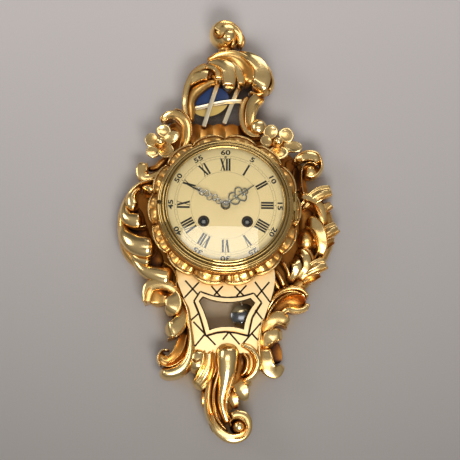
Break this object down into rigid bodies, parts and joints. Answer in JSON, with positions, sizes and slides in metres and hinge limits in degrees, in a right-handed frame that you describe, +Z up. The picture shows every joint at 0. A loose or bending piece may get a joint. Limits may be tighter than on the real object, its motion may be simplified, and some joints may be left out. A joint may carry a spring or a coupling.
{
  "type": "cartel wall clock",
  "caption": "Gilded carved rococo cartel wall clock with scrolls, shell and flowers, a round glazed dial, pierced steel hands and a pendulum seen through a lattice window",
  "frame": {"origin": "centre of the hanger's keyhole, on the wall plane, 92 mm above the dial's axis", "axes": "+Z up, +X to the viewer's right, the front faces -Y and the wall is at Y = 0"},
  "size_m": [0.2951, 0.081, 0.5767],
  "materials": {
    "gilt_wood": "worn gold leaf over red-brown ground",
    "brass": "polished, lacquered",
    "steel": "bright",
    "dial": "satin silvered gold",
    "glass": "clear",
    "card": "printed card"
  },
  "bodies": {
    "case": {"back_frame": "gilt_wood", "drum_ring": "gilt_wood", "scalloped_collar": "gilt_wood", "front_board": "gilt_wood", "lattice_panel": "gilt_wood", "window_moulding": "gilt_wood", "pendulum_box": "gilt_wood", "fluted_apron": "gilt_wood", "left_flower": "gilt_wood", "right_flower": "gilt_wood", "bottom_drop": "gilt_wood", "crest_scroll": "gilt_wood", "crest_stem": "gilt_wood", "finial": "gilt_wood", "left_shell": "gilt_wood", "right_scroll": "gilt_wood", "right_acanthus": "gilt_wood", "left_lower_scroll": "gilt_wood", "right_lower_scroll": "gilt_wood", "left_top_scroll": "gilt_wood", "trellis": "gilt_wood", "hinge_leaf_case": "brass", "front_plate": "brass", "back_plate": "brass", "plate_pillars": "brass", "centre_wheel": "brass", "third_wheel": "brass", "escape_wheel": "brass", "time_barrel": "brass", "strike_barrel": "brass", "winding_hole_rims": "brass", "suspension_cock": "brass", "winding_clicks": "brass", "hanger_plate": "steel", "hanger_screws": "steel", "dial_screws": "steel", "hinge_pin": "steel", "movement_screws": "steel", "gong": "steel", "dial_plate": "dial", "oval_tag": "card"},
    "door": {"bezel_ring": "brass", "bezel_glass": "glass", "bezel_knob": "brass", "hinge_leaf_door": "brass"},
    "minute_arbor": {"cannon_pinion": "brass", "minute_hand": "steel", "hand_nut": "brass"},
    "minute_work": {"minute_wheel": "brass"},
    "hour_arbor": {"hour_wheel": "brass", "hour_hand": "steel"},
    "time_winding": {"time_winding_arbor": "steel"},
    "strike_winding": {"strike_winding_arbor": "steel"},
    "pendulum": {"suspension_spring": "steel", "pendulum_rod": "steel", "pendulum_bob": "steel", "rating_nut": "brass"},
    "escapement": {"anchor": "steel"},
    "hammer": {"strike_hammer": "steel"}
  },
  "joints": [
    {"name": "door_hinge", "type": "hinge", "parent": "case", "child": "door", "pos_m": [0.0918, -0.061, -0.092], "axis": [0, 0, 1], "range_deg": [0, 110]},
    {"name": "minute_turn", "type": "hinge", "parent": "case", "child": "minute_arbor", "pos_m": [0, 0, -0.092], "axis": [0, 1, 0], "continuous": true},
    {"name": "minute_work_turn", "type": "hinge", "parent": "case", "child": "minute_work", "pos_m": [0, 0, -0.08], "axis": [0, 1, 0], "continuous": true},
    {"name": "hour_turn", "type": "hinge", "parent": "case", "child": "hour_arbor", "pos_m": [0, 0, -0.092], "axis": [0, 1, 0], "continuous": true},
    {"name": "time_wind", "type": "hinge", "parent": "case", "child": "time_winding", "pos_m": [0.0282, 0, -0.114], "axis": [0, 1, 0], "continuous": true},
    {"name": "strike_wind", "type": "hinge", "parent": "case", "child": "strike_winding", "pos_m": [-0.0282, 0, -0.114], "axis": [0, 1, 0], "continuous": true},
    {"name": "pendulum_swing", "type": "hinge", "parent": "case", "child": "pendulum", "pos_m": [0, -0.008, -0.05], "axis": [0, 1, 0], "range_deg": [0, 17]},
    {"name": "anchor_rock", "type": "hinge", "parent": "case", "child": "escapement", "pos_m": [0, -0.012, -0.05], "axis": [0, 1, 0], "range_deg": [0, 17]},
    {"name": "hammer_swing", "type": "hinge", "parent": "case", "child": "hammer", "pos_m": [-0.039, -0.009, -0.088], "axis": [0, 1, 0], "range_deg": [-15, 1.5]}
  ],
  "couplings": [
    {"joint": "hour_turn", "follows": "minute_turn", "ratio": 0.083333},
    {"joint": "minute_work_turn", "follows": "minute_turn", "ratio": -0.33333},
    {"joint": "anchor_rock", "follows": "pendulum_swing", "ratio": 1}
  ]
}
